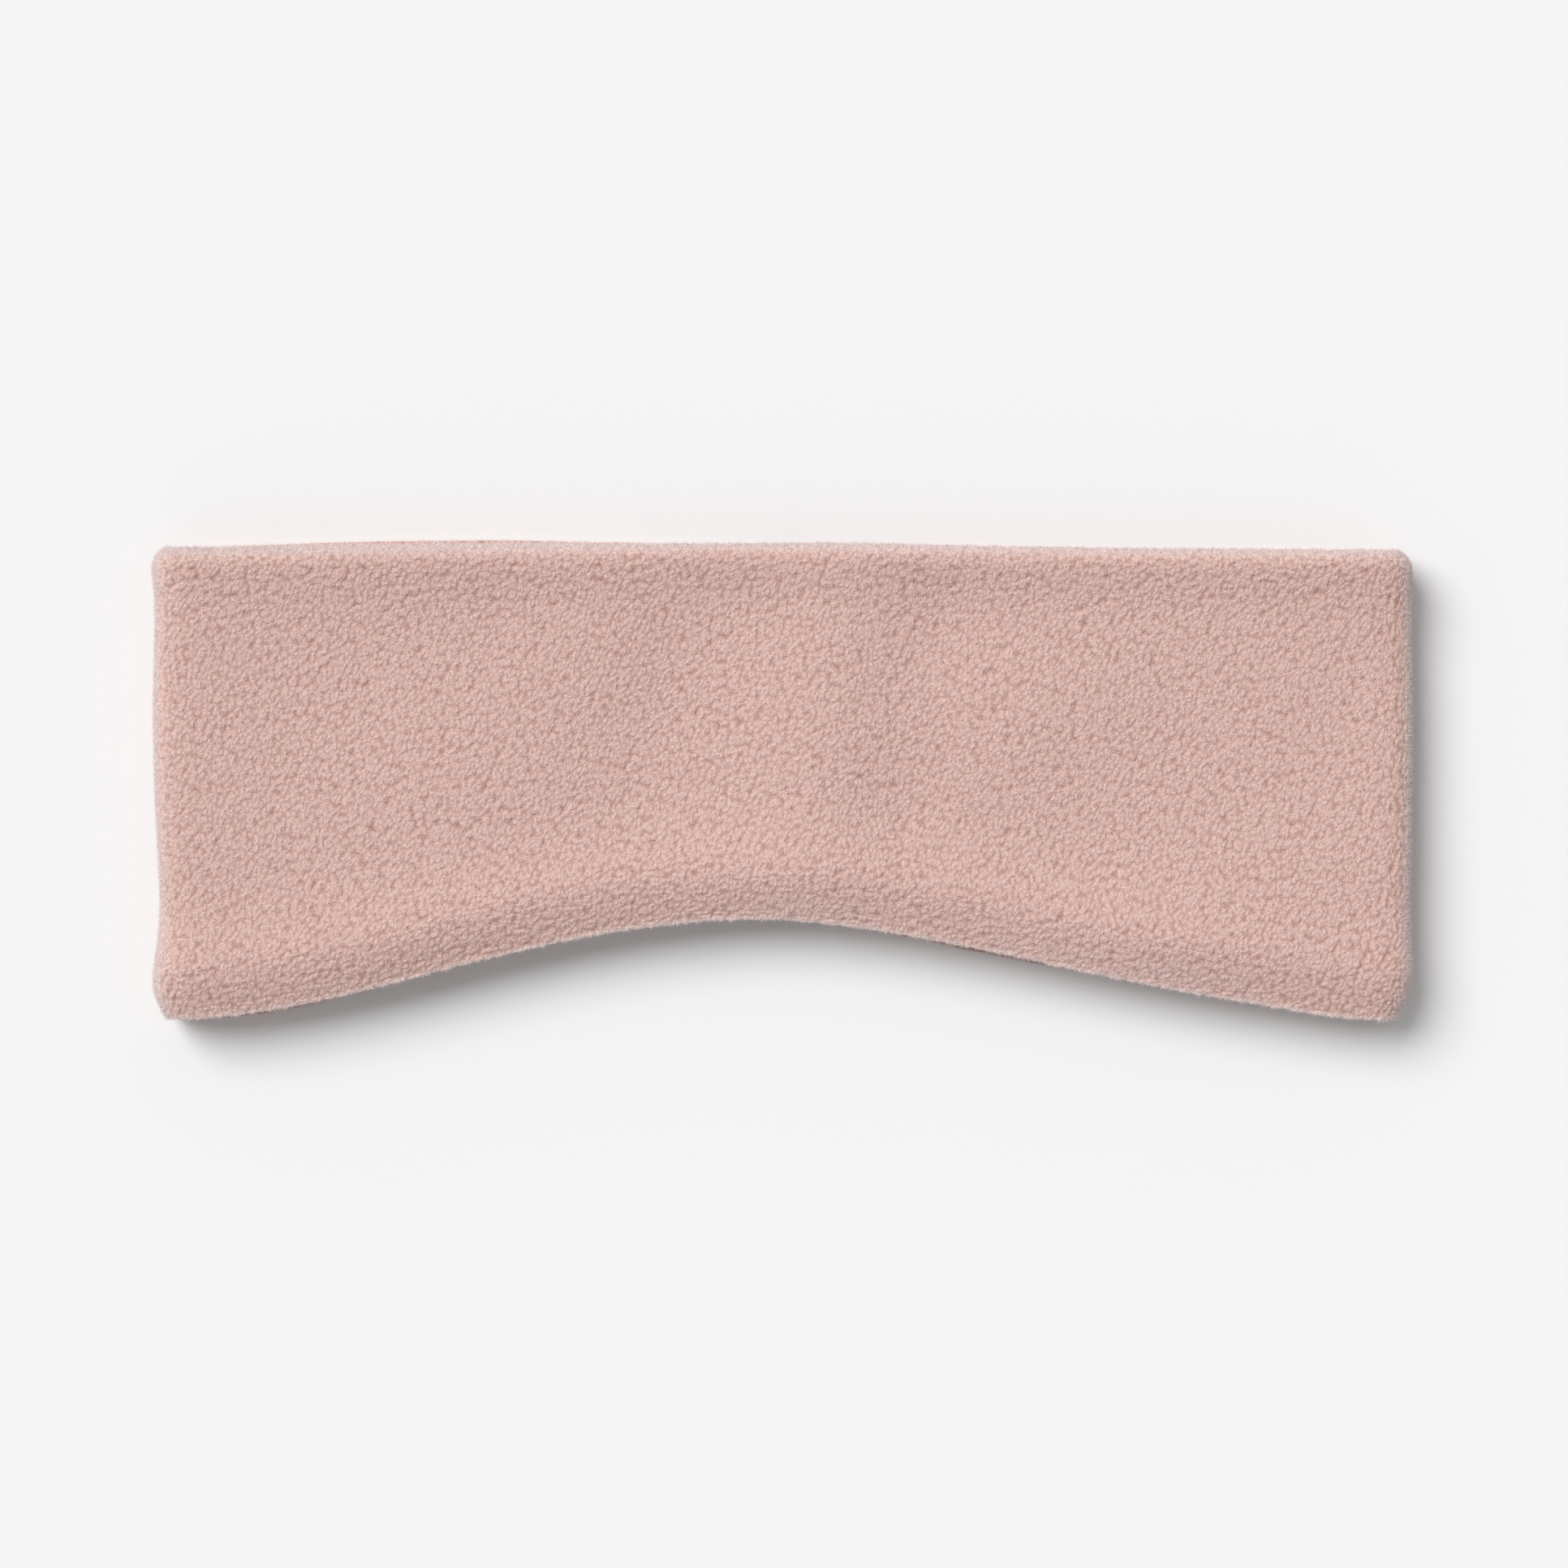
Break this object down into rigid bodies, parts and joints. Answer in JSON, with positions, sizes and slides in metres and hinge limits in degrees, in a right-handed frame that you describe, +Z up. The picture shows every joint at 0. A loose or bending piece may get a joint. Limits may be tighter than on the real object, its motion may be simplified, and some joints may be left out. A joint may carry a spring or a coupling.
{
  "type": "fleece headband",
  "caption": "Soft fleece headband that covers the ears, lying doubled: a lined loop, deep over the ears, with a straight top edge and an arched bottom edge.",
  "frame": {"origin": "the middle of the footprint, on the surface that the doubled band lies on", "axes": "+X along the band from its left fold to its right fold, +Y towards the straight top edge, +Z up, out of the front half"},
  "size_m": [0.2496, 0.0964, 0.0166],
  "materials": {
    "outer_fleece": "pebbled fleece, dusty pink, matt with a pale bloom at its edges",
    "lining_fleece": "the same fleece turned inwards, dusty pink, matt"
  },
  "bodies": {
    "root": {"outer_band": "outer_fleece", "lining_band": "lining_fleece"}
  },
  "joints": []
}
